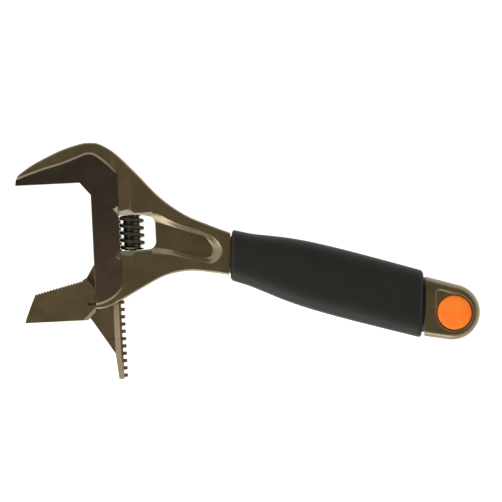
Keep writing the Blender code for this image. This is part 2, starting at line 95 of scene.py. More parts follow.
FLAT_HALF = BODY_HIGH.z     # half thickness at the ground flats
RIM_HALF = 5.5              # at the rim outside them
BAND_HALF = 6.1             # at the band over the worm
CREASE_HALF = 5.88          # where the band ends
PAD_SLOPE = 0.55            # half width of the ground flat's sloped edge
NECK_HALF = 5.2
FACE_LEFT = BODY_LOW.x      # ends of the fixed jaw's face
FACE_RIGHT = 14.45
THROAT_DROP = 5.8           # fall of the throat's slope, from that face to the head's side
HEAD_LEFT = 19.3            # the head's side below the throat
HEAD_LOW = -57.4
HEAD_TOP = BODY_HIGH.y
BAND_LEFT = 31.5            # the band over the worm
BAND_RIGHT = 36.9
BAND_RAMP = 3.5             # length of the rise to the band
BAND_STEP = 0.4             # half length of the fall at its crease
SLOPE_END = 54.0            # X where the neck's slope runs out
SLAB_KNOTS = [(BAND_LEFT - BAND_RAMP, RIM_HALF), (BAND_LEFT, BAND_HALF),
              (BAND_RIGHT - BAND_STEP, BAND_HALF), (BAND_RIGHT + BAND_STEP, CREASE_HALF),
              (SLOPE_END, NECK_HALF)]
FORGED_ROUND = 0.9          # radius of the forging's outer edges
GROUND_EDGE = 0.12          # chamfer along ground faces

# upper edge from the fixed jaw's tip to the neck, and lower edge back to the head
TOP_OUTLINE = [(-12.6, 5.3), (-5.6, 9.7), (6.2, 15.0), (15.4, 17.6), (20.0, HEAD_TOP - 0.05),
               (24.4, 17.1), (31.0, 12.8), (39.6, 3.9), (50.4, -8.2), (61.3, -16.6), (72.3, -21.9)]
LOW_OUTLINE = [(73.0, -43.6), (62.2, -42.2), (51.3, -43.8), (40.2, -49.0), (28.6, -55.1),
               (23.6, -57.1), (19.3, HEAD_LOW)]

RACK_PITCH = 3.3
RACK_TIP = JAW_HIGH.x       # X of the teeth's tips
TOOTH_DEPTH = 1.65
TOOTH_SPACE = 1.75          # width between two teeth
RACK_BACK = 26.9            # X of the column's back
RACK_HALF = 3.6             # half thickness of the column at its teeth
RACK_END = JAW_LOW.y
RACK_TOP = JAW_HIGH.y
RACK_TAPER = 11.4           # length over which the column narrows at its ends
RACK_NARROW = 1.1           # and by how much
COLUMN_SLOPE = 1.6          # run of the column's shoulders for each unit of rise
WEB_HALF = 2.0
WEB_SLOPE = 15.1 / 9.6      # rise of the web's edges for each unit along X
WEB_END = RACK_BACK + 0.5   # the web ends inside the column
WEB_HEEL = (17.3, -62.8)
SLOT_EASE = 0.02            # keeps the web's slot off the walls of the rack's way
ARM_HALF = JAW_HIGH.z
CLOSING = frame["joints"][0]["range_m"][1] / MM
THREAD_DEPTH = 1.8
KNURLS = 48
KNURL_DEPTH = 0.13
SPRING_SEAT = 4.0           # depth of the spring's seat in the worm
SEAT_WALL = 0.65            # metal left round it under the thread
WORM_END = 1.5              # length of the worm's rounded ends
THREAD_CREST = 0.55         # half width of the thread's crest
THREAD_FOOT = 1.1           # and of its foot

WINDOW_TOP = WORM_HIGH.y + GAP
WINDOW_LOW = WORM_LOW.y - GAP
WINDOW_LEFT = RACK_TIP - 0.85
WINDOW_RIGHT = WORM_HIGH.x + 5.24
WINDOW_CORNER = 3.6
WORM_GAP = 0.12             # between the worm and the window's ends
FACET_X = (28.5, 46.5)      # where the facets lie, how far off the worm's middle along Y,
FACET_ASIDE = (6.7, 12.2)   # how high, and the Z part of their normals
FACET_FLOOR = 4.2
FACET_TILT = (0.8, 0.98)

POCKET_LEFT = 45.6
POCKET_SHALLOW = 1.3        # depth beside the window
POCKET_DEEPER = 1.4         # and how much deeper it gets
POCKET_RUN = 25             # over this length

HANDLE_ANGLE = math.radians(-17.34)
AXIS_OFFSET = -10.0         # of the handle's axis from the origin
END_SLANT = math.radians(12.8)  # by which the grip's ends lean from square
GRIP_START = 88.2           # along the handle's axis
GRIP_LENGTH = 89.2
GRIP_END = GRIP_START + GRIP_LENGTH
CORE_SHOWS = (0.3, 1.1)     # length of core beyond the sleeve's two ends
GRIP_SQUARE = 3.8           # 2 is an oval section, more is squarer
SLEEVE_WALL = 2.4
SLEEVE_ROUND = 1.6
TANG_HALF_WIDTH = 8.0
TANG_HALF_THICK = 4.2
TANG_SQUARE = 0.4
NECK_ABOVE = 9.6            # half widths of the neck at the grip
NECK_BELOW = 9.1
NECK_END = GRIP_START - CORE_SHOWS[0] - GAP
END_START = GRIP_END + CORE_SHOWS[1] + GAP
END_RADIUS = 12.6
END_HALF = 6.5
END_ROUND = 2.6
END_FLARE = 1.8             # the end's lower side widens by this before it is cut off
END_CENTRE = END_START + 12.5
PLUG_CENTRE = END_CENTRE + 1.0
RECESS_DEPTH = 0.8
RECESS_FLOOR = END_HALF - RECESS_DEPTH
RECESS_CORNER = (172.9, -56.0)
PLUG_PROUD = 0.5            # the plug's crown over the recess's floor
PLUG_RIM = 2.4              # height of the plug's wide part
PLUG_STEM = 4.6             # radius of its stem


# ------------------------------------------------------------------ outlines
def smooth_line(points, steps=5):
    """Points of a curve that passes through the given points."""
    line = []
    last = len(points) - 1
    for k in range(last):
        near = [Vector(points[min(max(k + j, 0), last)]) for j in (-1, 0, 1, 2)]
        for step in range(steps):
            t = step / steps
            line.append(0.5 * ((2 * near[1]) + (near[2] - near[0]) * t
                               + (2 * near[0] - 5 * near[1] + 4 * near[2] - near[3]) * t ** 2
                               + (3 * near[1] - near[0] - 3 * near[2] + near[3]) * t ** 3))
    line.append(Vector(points[last]))
    return [tuple(point) for point in line]


def arc(centre, radius, start, stop, steps):
    """Points of an arc, angles in degrees."""
    angles = [math.radians(start + (stop - start) * k / steps) for k in range(steps + 1)]
    return [(centre[0] + radius * math.cos(a), centre[1] + radius * math.sin(a)) for a in angles]


def on_handle(along, aside):
    """Point in XY from its place along the handle axis and aside from it."""
    c = math.cos(HANDLE_ANGLE)
    s = math.sin(HANDLE_ANGLE)
    square = AXIS_OFFSET + aside
    return (along * c - square * s, along * s + square * c)


def on_slant(along, aside):
    """Point in XY on a line across the handle, slanted as the grip's ends are."""
    return on_handle(along - aside * math.tan(END_SLANT), aside)


def beside(line, width):
    """An open line moved sideways, to its left for a positive width."""
    moved = []
    for k, point in enumerate(line):
        before = Vector(line[max(k - 1, 0)])
        after = Vector(line[min(k + 1, len(line) - 1)])
        way = (after - before).normalized()
        moved.append((point[0] - way.y * width, point[1] + way.x * width))
    return moved


# ------------------------------------------------------------------ shapes
def grown(outline, steps):
    """Half solid on z = 0: an outline whose cap moves inwards and up in steps."""
    shape = bmesh.new()
    cap = shape.faces.new([shape.verts.new((x, y, 0)) for x, y in outline])
    cap.normal_update()
    if cap.normal.z < 0:
        cap.normal_flip()
    for width, rise in steps:
        bmesh.ops.inset_region(shape, faces=[cap], thickness=width, depth=rise, use_boundary=True,
                               use_even_offset=True)
    return shape


def both_faces(shape):
    """A half solid on z = 0 made whole by its mirror image."""
    bmesh.ops.mirror(shape, geom=shape.verts[:] + shape.edges[:] + shape.faces[:], axis="Z",
                     matrix=Matrix.Identity(4), merge_dist=1e-5)
    bmesh.ops.remove_doubles(shape, verts=shape.verts, dist=1e-5)
    bmesh.ops.recalc_face_normals(shape, faces=shape.faces)
    return shape


def skin(rings, closed=False):
    """Solid through rings of equal point count; closed joins the last ring to the first."""
    shape = bmesh.new()
    loops = []
    for ring in rings:
        points = [shape.verts.new(point) for point in ring]
        loops.append([shape.edges.new((a, b)) for a, b in zip(points, points[1:] + points[:1])])
    pairs = list(zip(loops, loops[1:]))
    if closed:
        pairs.append((loops[-1], loops[0]))
    else:
        bmesh.ops.edgeloop_fill(shape, edges=loops[0])
        bmesh.ops.edgeloop_fill(shape, edges=loops[-1])
    for loop, after in pairs:
        bmesh.ops.bridge_loops(shape, edges=loop + after)
    bmesh.ops.recalc_face_normals(shape, faces=shape.faces)
    return shape


def trim(shape, point, normal):
    """Cuts off what lies beyond a plane and closes the opening."""
    bmesh.ops.bisect_plane(shape, geom=shape.verts[:] + shape.edges[:] + shape.faces[:],
                           dist=1e-6, plane_co=point, plane_no=normal, clear_outer=True)
    bmesh.ops.holes_fill(shape, edges=[edge for edge in shape.edges if edge.is_boundary])
    bmesh.ops.recalc_face_normals(shape, faces=shape.faces)


def turned(profile, steps=48):
    """Solid of a profile of (radius, height) turned about Z."""
    shape = bmesh.new()
    points = [shape.verts.new((radius, 0, height)) for radius, height in profile]
    edges = [shape.edges.new((a, b)) for a, b in zip(points, points[1:])]
    bmesh.ops.spin(shape, geom=points + edges, cent=(0, 0, 0), axis=(0, 0, 1), dvec=(0, 0, 0),
                   angle=2 * math.pi, steps=steps, use_merge=True)
    bmesh.ops.remove_doubles(shape, verts=shape.verts, dist=1e-5)
    bmesh.ops.recalc_face_normals(shape, faces=shape.faces)
    return shape


def cuboid(low, high):
    """Box between two corners."""
    shape = bmesh.new()
    bmesh.ops.create_cube(shape, size=1.0)
    low, high = Vector(low), Vector(high)
    bmesh.ops.scale(shape, vec=high - low, verts=shape.verts)
    bmesh.ops.translate(shape, vec=(low + high) / 2, verts=shape.verts)
    return shape


def turn(shape, angle, axis):
    bmesh.ops.rotate(shape, verts=shape.verts, cent=(0, 0, 0),
                     matrix=Matrix.Rotation(math.radians(angle), 3, axis))
    return shape


def move(shape, x, y, z=0.0):
    bmesh.ops.translate(shape, vec=(x, y, z), verts=shape.verts)
    return shape


def flipped(shape):
    """Copy of a shape on the back face."""
    copy = shape.copy()
    bmesh.ops.scale(copy, vec=(1, 1, -1), verts=copy.verts)
    bmesh.ops.recalc_face_normals(copy, faces=copy.faces)
    return copy


def make(name, shape):
    """Object of a finished shape, in metres, at the origin."""
    bmesh.ops.scale(shape, vec=(MM, MM, MM), verts=shape.verts)
    mesh = bpy.data.meshes.new(name)
    shape.to_mesh(mesh)
    shape.free()
    item = bpy.data.objects.new(name, mesh)
    bpy.context.scene.collection.objects.link(item)
    return item


def combine(item, shape, operation):
    """Boolean of an object with a shape, applied to its mesh."""
    tool = make("tool", shape)
    modifier = item.modifiers.new("combine", "BOOLEAN")
    modifier.operation = operation
    modifier.solver = "EXACT"
    modifier.object = tool
    depsgraph = bpy.context.evaluated_depsgraph_get()
    result = bpy.data.meshes.new_from_object(item.evaluated_get(depsgraph))
    item.modifiers.clear()
    old = item.data
    item.data = result
    bpy.data.meshes.remove(old)
    bpy.data.objects.remove(tool)


def cut(item, shape):
    combine(item, shape, "DIFFERENCE")


def add(item, shape):
    combine(item, shape, "UNION")


def coat(item, *materials):
    """Gives a piece its finishes, in the order of its faces' material numbers."""
    item.data.materials.clear()
    for material in materials:
        item.data.materials.append(material)


def smooth(item, angle=28, weighted=True):
    """Smooth shading with crisp edges over an angle, and flats kept flat."""
    item.data.shade_smooth()
    item.data.set_sharp_from_angle(angle=math.radians(angle))
    if weighted:
        normals = item.modifiers.new("flats", "WEIGHTED_NORMAL")
        normals.keep_sharp = True


# ------------------------------------------------------------------ materials
def colour(code):
    """Linear colour of an sRGB hex value."""
    parts = [int(code[k:k + 2], 16) / 255 for k in (1, 3, 5)]
    return [p / 12.92 if p <= 0.04045 else ((p + 0.055) / 1.055) ** 2.4 for p in parts] + [1.0]


def put(material, kind, settings=None, links=None):
    """Adds a node with its settings and the sockets that feed it."""
    tree = material.node_tree
    item = tree.nodes.new(kind)
    for key, value in (settings or {}).items():
        if isinstance(key, str) and hasattr(item, key):
            setattr(item, key, value)
        else:
            item.inputs[key].default_value = value
    for key, socket in (links or {}).items():
        tree.links.new(socket, item.inputs[key])
    return item


def new_material(name, settings):
    """Principled material; returns it with its shader node."""
    material = bpy.data.materials.new(name)
    material.use_nodes = True
    principled = material.node_tree.nodes["Principled BSDF"]
    for key, value in settings.items():
        principled.inputs[key].default_value = value
    return material, principled


def blend(material, source, low, high, start=0.35, stop=0.65):
    """Colour that goes from one hex value to another as a socket's value rises."""
    share = put(material, "ShaderNodeMapRange", {1: start, 2: stop}, {0: source})
    mix = put(material, "ShaderNodeMix", {"data_type": "RGBA", 6: colour(low), 7: colour(high)},
              {0: share.outputs["Result"]})
    return mix.outputs[2]


def surface(material, shader, tint, gloss, bump):
    """Feeds a shader's colour, roughness and normal."""
    links = material.node_tree.links
    links.new(tint, shader.inputs["Base Color"])
    links.new(gloss.outputs["Result"], shader.inputs["Roughness"])
    links.new(bump.outputs["Normal"], shader.inputs["Normal"])
    return material


def steel(name, dark, light, roughness, grain_mm=0.35, marks=None, warm=None):
    """Phosphated steel: a crystal coat that holds oil, so a dark satin metal with faint mottle.

    The mottle is 11 mm wide. The coat's crystals are far finer than grain_mm, which is as coarse
    as they need to be to show. marks are per metre along each axis.
    """
    material, shader = new_material(name, {"Metallic": 0.9, "Coat Weight": 0.5,
                                           "Coat Roughness": 0.22})
    place = put(material, "ShaderNodeTexCoord").outputs["Object"]
    mottle = put(material, "ShaderNodeTexNoise", {"Scale": 90.0, "Detail": 4.0, "Roughness": 0.6},
                 {"Vector": place})
    tint = blend(material, mottle.outputs["Fac"], dark, light)
    if warm:
        # lighter and browner towards the flat's lower end
        height = put(material, "ShaderNodeSeparateXYZ", {}, {"Vector": place})
        share = put(material, "ShaderNodeMapRange", {"interpolation_type": "SMOOTHSTEP",
                                                     1: warm[2] * MM, 2: warm[3] * MM},
                    {"Value": height.outputs["Y"]})
        brown = blend(material, mottle.outputs["Fac"], warm[0], warm[1])
        tint = put(material, "ShaderNodeMix", {"data_type": "RGBA"},
                   {0: share.outputs["Result"], 6: tint, 7: brown}).outputs[2]
    grain = put(material, "ShaderNodeTexNoise", {"Scale": 1 / (grain_mm * MM), "Detail": 2.0},
                {"Vector": place})
    gloss = put(material, "ShaderNodeMapRange", {3: roughness - 0.05, 4: roughness + 0.06},
                {"Value": mottle.outputs["Fac"]})
    bump = put(material, "ShaderNodeBump", {"Strength": 0.22, "Distance": 0.00006},
               {"Height": grain.outputs["Fac"]})
    if marks:
        stretch = put(material, "ShaderNodeMapping", {"Scale": marks}, {"Vector": place})
        lines = put(material, "ShaderNodeTexNoise", {"Scale": 1.0, "Detail": 3.0},
                    {"Vector": stretch.outputs["Vector"]})
        bump = put(material, "ShaderNodeBump", {"Strength": 0.25, "Distance": 0.00005},
                   {"Height": lines.outputs["Fac"], "Normal": bump.outputs["Normal"]})
    return surface(material, shader, tint, gloss, bump)


def elastomer():
    """Soft grip rubber, moulded with a spark-eroded grain: black with a brown cast, and matte.

    The real grain is about 0.1 mm; it is 0.45 mm here so that it shows.
    """
    material, shader = new_material("moulded_grip_elastomer", {"IOR": 1.5,
                                                               "Specular IOR Level": 0.32})
    place = put(material, "ShaderNodeTexCoord").outputs["Object"]
    cloud = put(material, "ShaderNodeTexNoise", {"Scale": 60.0, "Detail": 4.0}, {"Vector": place})
    tint = blend(material, cloud.outputs["Fac"], "#15130f", "#1a1813")
    grain = put(material, "ShaderNodeTexNoise", {"Scale": 1 / (0.45 * MM), "Detail": 3.0},
                {"Vector": place})
    gloss = put(material, "ShaderNodeMapRange", {3: 0.5, 4: 0.62}, {"Value": grain.outputs["Fac"]})
    bump = put(material, "ShaderNodeBump", {"Strength": 0.5, "Distance": 0.00012},
               {"Height": grain.outputs["Fac"]})
    return surface(material, shader, tint, gloss, bump)


def plastic(name, low, high, roughness, grain_mm):
    """Moulded thermoplastic, with its tool's faint texture: an even, satin colour."""
    material, shader = new_material(name, {"IOR": 1.5})
    place = put(material, "ShaderNodeTexCoord").outputs["Object"]
    cloud = put(material, "ShaderNodeTexNoise", {"Scale": 120.0, "Detail": 2.0}, {"Vector": place})
    tint = blend(material, cloud.outputs["Fac"], low, high)
    grain = put(material, "ShaderNodeTexNoise", {"Scale": 1 / (grain_mm * MM), "Detail": 2.0},
                {"Vector": place})
    gloss = put(material, "ShaderNodeMapRange", {3: roughness - 0.04, 4: roughness + 0.04},
                {"Value": cloud.outputs["Fac"]})
    bump = put(material, "ShaderNodeBump", {"Strength": 0.12, "Distance": 0.00006},
               {"Height": grain.outputs["Fac"]})
    return surface(material, shader, tint, gloss, bump)


# forging left as it came: an olive brown satin
FORGED = steel("phosphated_forging", "#776b51", "#82755a", 0.36)
# ground before it was coated, with lines 0.4 mm apart that run along Y; its darker colour is
# painted dark reflection, standing in for the dim overhead that the smooth flat mirrors
GROUND_PAINTED_DARK = steel("ground_flat_painted_dark_reflection", "#4d4740", "#574f47", 0.34, marks=(2500.0, 60.0, 300.0),
               warm=("#6b5b4f", "#776456", -8, -50))
# milled smooth under the coat, and painted paler than the forging: a painted highlight for the
# light these facets catch
MILLED_PAINTED_HIGHLIGHT = steel("milled_edge_painted_highlight", "#7d7765", "#898370", 0.32)
# as the forging, a little redder
JAW = steel("phosphated_jaw_forging", "#786a50", "#85765b", 0.36)
# oil-blackened: nearly black in the thread, dull on its knurl
BLACKED = steel("blackened_worm_steel", "#3d382c", "#494334", 0.4, grain_mm=0.25)
# turned and left bare: the one pale, clean metal
BRIGHT = steel("plain_turned_steel", "#a9a49c", "#b6b2aa", 0.3, grain_mm=0.2)
# takes the light as a broad, dull sheen
SLEEVE = elastomer()
# harder and blacker than the sleeve: a thin dark line at its ends
CORE = plastic("moulded_core_nylon", "#141413", "#1a1a18", 0.45, 0.3)
# the one bright colour
ORANGE = plastic("moulded_orange_abs", "#ff7a1e", "#ff8428", 0.42, 0.4)


# ------------------------------------------------------------------ forged body
def thickness_at(x):
    """Half thickness of the slab along X, as a share of the rim's."""
    for (x0, z0), (x1, z1) in zip(SLAB_KNOTS, SLAB_KNOTS[1:]):
        if x <= x1:
            return (z0 + (z1 - z0) * max(x - x0, 0) / (x1 - x0)) / RIM_HALF
    return NECK_HALF / RIM_HALF


def rounded_edge(height, radius):
    """Steps of a cap that rises and then rounds over."""
    steps = [(0.1, height - radius)]
    turns = [math.radians(angle) for angle in (0, 22.5, 45, 67.5, 90)]
    for a, b in zip(turns, turns[1:]):
        steps.append((radius * (math.cos(a) - math.cos(b)), radius * (math.sin(b) - math.sin(a))))
    return steps


def forged_slab():
    """Head and neck between the rounded forged edges, thickest at the worm."""
    outline = [(FACE_LEFT, -3), (FACE_LEFT, 0.3), (FACE_LEFT + 0.3, 2.8), (-13.7, 4.2)]
    outline += smooth_line(TOP_OUTLINE + [on_slant(NECK_END, NECK_ABOVE)])
    outline += [on_slant(NECK_END + 6, NECK_ABOVE), on_slant(NECK_END + 6, -NECK_BELOW)]
    outline += smooth_line([on_slant(NECK_END, -NECK_BELOW)] + LOW_OUTLINE)
    outline += [(HEAD_LEFT - 6, HEAD_LOW), (HEAD_LEFT - 6, -8), (FACE_RIGHT - 5, -3)]
    shape = both_faces(grown(outline, rounded_edge(RIM_HALF, FORGED_ROUND)))
    end = Vector(on_slant(NECK_END, 0))
    across = Vector(on_slant(NECK_END, 1)) - end
    trim(shape, (end.x, end.y, 0), (across.y, -across.x, 0))
    for x, half in SLAB_KNOTS:
        bmesh.ops.bisect_plane(shape, geom=shape.verts[:] + shape.edges[:] + shape.faces[:],
                               dist=1e-5, plane_co=(x, 0, 0), plane_no=(1, 0, 0))
    for point in shape.verts:
        point.co.z *= thickness_at(point.co.x)
    return shape


def ground_pad():
    """Raised flat on both faces of the head, with a sloped edge above and below."""
    top = smooth_line([(-12.9, 3.4), (-9.9, 4.5), (-5.5, 5.9), (-1.2, 7.2), (6.7, 9.2),
                       (13.0, 11.3), (17.0, 12.8), (19.8, 13.1), (22.5, 12.1), (27.0, 8.5),
                       (BAND_LEFT - 0.2, 4.2)], 3)
    low = smooth_line([(BAND_LEFT + 0.1, -39.0), (BAND_LEFT + 0.1, -45.2), (31.2, -48.3),
                       (29.1, -50.9), (25.7, -53.2), (22.3, -54.6), (HEAD_LEFT - 1, -55.3)], 3)
    # the slope fades in over the first points, so that no sliver is left beside the band
    fades = [min((k + 1) / 8, 1) for k in range(len(low))]
    rings = []
    for width, height in ((PAD_SLOPE, 0.0), (PAD_SLOPE, FLAT_HALF - 2 * PAD_SLOPE),
                          (-PAD_SLOPE, FLAT_HALF)):
        high_line = beside(top, width)
        low_line = [(x0 + (x1 - x0) * fade, y0 + (y1 - y0) * fade)
                    for (x0, y0), (x1, y1), fade in zip(low, beside(low, width), fades)]
        outline = [(FACE_LEFT, -3), (FACE_LEFT, 0.3), (FACE_LEFT + 0.3, 2.6)]
        outline += high_line + [(BAND_LEFT, 3.0), (BAND_LEFT + 0.1, -36.0)] + low_line
        outline += [(HEAD_LEFT - 5, -56), (HEAD_LEFT - 5, -3)]
        rings.append([(x, y, height) for x, y in outline])
    shape = skin(rings)
    bottom = [face for face in shape.faces if abs(face.calc_center_median().z) < 1e-6]
    bmesh.ops.delete(shape, geom=bottom, context="FACES_ONLY")
    bmesh.ops.triangulate(shape, faces=shape.faces)
    return both_faces(shape)


def throat():
    """Space between the jaws, with a fine chamfer along the ground faces."""
    left = FACE_LEFT - 6
    low = HEAD_LOW - 8
    outline = [(left, 0), (FACE_RIGHT, 0), (HEAD_LEFT, -THROAT_DROP), (HEAD_LEFT, low), (left, low)]
    steps = [(0.0, FLAT_HALF - GROUND_EDGE), (-4.0, 4.0)]
    return both_faces(grown(outline, steps))


def window():
    """Worm window, a little lower where the thumb goes, with rounded far corners."""
    corner = WINDOW_CORNER
    top = WINDOW_TOP - 1.0
    low = WINDOW_LOW + 0.25
    step = WORM_HIGH.x + GAP
    outline = arc((WINDOW_RIGHT - corner, top - corner), corner, 90, 4, 8)
    outline += arc((WINDOW_RIGHT - corner, low + corner), corner, -4, -90, 8)
    outline += [(step + 1.2, low), (step - 1.5, WORM_LOW.y - WORM_GAP),
                (WINDOW_LEFT, WORM_LOW.y - WORM_GAP), (WINDOW_LEFT, WORM_HIGH.y + WORM_GAP),
                (step - 1.5, WORM_HIGH.y + WORM_GAP), (step + 1.2, top)]
    return both_faces(grown(outline, [(0.0, BAND_HALF + 2)]))


def window_facets():
    """Milled facets at the window's two ends: a beak in the flat and a strip in the band.

    Each floor starts level with its face and falls towards the worm.
    """
    mid = (WINDOW_TOP + WINDOW_LOW) / 2
    beak = [(28.87, 10.82), (31.01, 12.1), (32.45, 9.84), (32.62, 6.8), (31.5, 6.8)]
    strip = [(32.4, 6.8), (32.35, 9.86), (34.4, 10.3), (36.74, 11.0), (37.6, 9.4), (38.7, 8.8),
             (42.2, 8.75), (46.3, 8.9), (46.3, 6.8)]
    tools = []
    for side in (1, -1):
        for outline, rise, start, fall in ((beak, FLAT_HALF, (31.01, 12.1), (0.05, -0.36)),
                                           (strip, BAND_HALF, (36.74, 11.0), (0.0, -0.353))):
            floor = [rise - (x - start[0]) * fall[0] - (y - start[1]) * fall[1] for x, y in outline]
            rings = [[(x, mid + side * y, z) for (x, y), z in zip(outline, floor)],
                     [(x, mid + side * y, FLAT_HALF + 2) for x, y in outline]]
            tools.append(skin(rings))
    return tools


def pocket():
    """Hollow of the neck on the front face: steep sides that run round into a flat floor."""
    rim = smooth_line([(POCKET_LEFT, -14.7), (51.0, -16.7), (58.1, -20.6), (64.5, -23.0),
                       (71.0, -25.6), (74.6, -28.2), (77.0, -31.3), (77.8, -34.2),
                       (76.3, -37.3), (72.6, -39.4), (67.4, -38.2), (60.6, -36.3),
                       (53.7, -34.7), (POCKET_LEFT, -33.7)], 4)
    bed = smooth_line([(POCKET_LEFT, -18.9), (51.0, -20.6), (57.2, -22.5), (63.6, -24.8),
                       (69.2, -26.8), (71.1, -28.7), (72.3, -31.1), (72.6, -33.4),
                       (72.0, -35.3), (70.6, -36.4), (66.6, -35.9), (58.9, -33.9),
                       (52.5, -31.7), (POCKET_LEFT, -30.3)], 4)
    top = NECK_HALF + 0.1
    rings = [[(*point, top + 2) for point in rim]]
    depths = [POCKET_SHALLOW + POCKET_DEEPER * min((x - POCKET_LEFT) / POCKET_RUN, 1)
              for x, y in rim]
    for step in range(11):
        share = step / 10
        fall = 0.65 * share + 0.35 * (1 - math.cos(math.pi * share)) / 2
        rings.append([(a[0] + (b[0] - a[0]) * share, a[1] + (b[1] - a[1]) * share,
                       top - depth * fall) for a, b, depth in zip(rim, bed, depths)])
    return skin(rings)


def column_section(y, back, grow=0.0):
    """Section of the rack's column at y: narrow where the web joins, full at the teeth."""
    shoulder = back + (RACK_HALF - WEB_HALF) * COLUMN_SLOPE
    half = RACK_HALF + grow
    waist = WEB_HALF + grow
    left = back - grow
    right = RACK_TIP + grow
    return [(left, y, waist), (shoulder - grow / 2, y, half), (right, y, half),
            (right, y, -half), (shoulder - grow / 2, y, -half), (left, y, -waist)]


def rack_way():
    return skin([column_section(y, RACK_BACK, GAP) for y in (HEAD_LOW - 4, HEAD_TOP + 4)])


def web_slot():
    """Slot for the web, and its way up into the throat as the jaw closes."""
    left = ARM_CORNER[0] - 1
    reach = ARM_CORNER[1] + CLOSING + GAP
    top = reach + (WEB_END - left) * WEB_SLOPE
    outline = [(left, HEAD_LOW - 4), (left, reach), (WEB_END, top), (WEB_END, HEAD_LOW - 4)]
    return both_faces(grown(outline, [(0.0, WEB_HALF + GAP + SLOT_EASE)]))


def pin_hole():
    """Stepped hole for the pin, from below the pin's head up past the window."""
    top = PIN_HIGH.y + GAP
    head = PIN_HEAD_TOP + GAP
    low = HEAD_LOW - 3
    shape = turned([(0, top), (PIN_BORE, top), (PIN_BORE, head), (PIN_HEAD_BORE, head),
                    (PIN_HEAD_BORE, low), (0, low)])
    return move(turn(shape, -90, "X"), WORM_MID.x, 0)


def tang_ring(along, more, points=20):
    """Section of the tang through the grip, or of its hole."""
    ring = []
    for k in range(points):
        angle = 2 * math.pi * (k + 0.5) / points
        c = math.cos(angle)
        s = math.sin(angle)
        aside = (TANG_HALF_WIDTH + more) * math.copysign(abs(c) ** TANG_SQUARE, c)
        up = (TANG_HALF_THICK + more) * math.copysign(abs(s) ** TANG_SQUARE, s)
        ring.append((*on_slant(along, aside), up))
    return ring


def handle_tang():
    return skin([tang_ring(along, 0) for along in (NECK_END - 2, END_START + 2)])


def handle_end():
    """Rounded metal end of the handle, cut square to the grip's end."""
    top = on_slant(END_START - 6, END_RADIUS)
    low = on_slant(END_START - 6, -END_RADIUS - END_FLARE)
    centre = on_handle(END_CENTRE, 0)
    turned_by = math.degrees(HANDLE_ANGLE)
    outline = [top] + arc(centre, END_RADIUS, turned_by + 90, turned_by - 80, 40) + [low]
    shape = both_faces(grown(outline, rounded_edge(END_HALF, END_ROUND)))
    start = Vector(on_slant(END_START, 0))
    across = Vector(on_slant(END_START, 1)) - start
    trim(shape, (start.x, start.y, 0), (-across.y, across.x, 0))
    return shape


def plug_recess():
    """Shallow recess round the plug on the front face, drawn out to a corner."""
    centre = Vector(on_handle(PLUG_CENTRE, 0))
    rim = PLUG_RADIUS + 0.25
    corner = Vector(RECESS_CORNER)
    reach = corner - centre
    heading = math.degrees(math.atan2(reach.y, reach.x))
    spread = math.degrees(math.acos(rim / reach.length))
    outline = arc(centre, rim, heading - spread, heading + spread - 360, 48)
    ends = (Vector(outline[-1]), Vector(outline[0]))
    near = [corner + (end - corner).normalized() * 2.2 for end in ends]
    for step in range(7):
        t = step / 6
        outline.append(tuple(near[0] * (1 - t) ** 2 + corner * 2 * t * (1 - t) + near[1] * t ** 2))
    shape = bmesh.new()
    cap = shape.faces.new([shape.verts.new((x, y, RECESS_FLOOR)) for x, y in outline])
    cap.normal_update()
    if cap.normal.z < 0:
        cap.normal_flip()
    bmesh.ops.duplicate(shape, geom=[cap] + cap.edges[:] + cap.verts[:])
    for width, rise in ((-0.15, 0.1), (-0.2, 0.3), (-0.2, 0.3), (-0.2, 0.1), (0.0, 2.0)):
        bmesh.ops.inset_region(shape, faces=[cap], thickness=width, depth=rise, use_boundary=True,
                               use_even_offset=True)
    bmesh.ops.remove_doubles(shape, verts=shape.verts, dist=1e-4)
    bmesh.ops.recalc_face_normals(shape, faces=shape.faces)
    return shape


def plug_seat():
    centre = on_handle(PLUG_CENTRE, 0)
    floor = RECESS_FLOOR
    seat = PLUG_RADIUS + GAP
    step = floor + PLUG_PROUD - PLUG_RIM - GAP
    stem = PLUG_STEM + GAP
    profile = [(0, 9), (seat + 0.6, 9), (seat + 0.25, floor), (seat, floor - 0.25), (seat, step),
               (stem, step), (stem, -step), (seat, -step), (seat, 0.25 - floor),
               (seat + 0.25, -floor), (seat + 0.6, -9), (0, -9)]
    return move(turned(profile, 64), *centre)


def forged_body():
    body = make("forged_body", forged_slab())
    add(body, ground_pad())
    cut(body, throat())
    hollow = pocket()
    cut(body, flipped(hollow))
    cut(body, hollow)
    cut(body, window())
    for tool in window_facets():
        cut(body, flipped(tool))
        cut(body, tool)
    cut(body, rack_way())
    cut(body, web_slot())
    cut(body, pin_hole())
    add(body, handle_tang())
    add(body, handle_end())
    recess = plug_recess()
    cut(body, flipped(recess))
    cut(body, recess)
    cut(body, plug_seat())
    coat(body, FORGED, GROUND_PAINTED_DARK, MILLED_PAINTED_HIGHLIGHT)
    for face in body.data.polygons:
        x, y, z = face.center / MM
        aside = abs(y - WORM_MID.y)
        # the ground flats take the darker steel, whose colour is painted dark reflection
        if abs(z) > FLAT_HALF - 0.01 and x < BAND_LEFT + 0.2:
            face.material_index = 1
        # the window's facets take the paler steel, whose colour is a painted highlight
        elif (FACET_X[0] < x < FACET_X[1] and FACET_ASIDE[0] < aside < FACET_ASIDE[1]
              and abs(z) > FACET_FLOOR and FACET_TILT[0] < abs(face.normal.z) < FACET_TILT[1]):
            face.material_index = 2
    smooth(body)
    return body


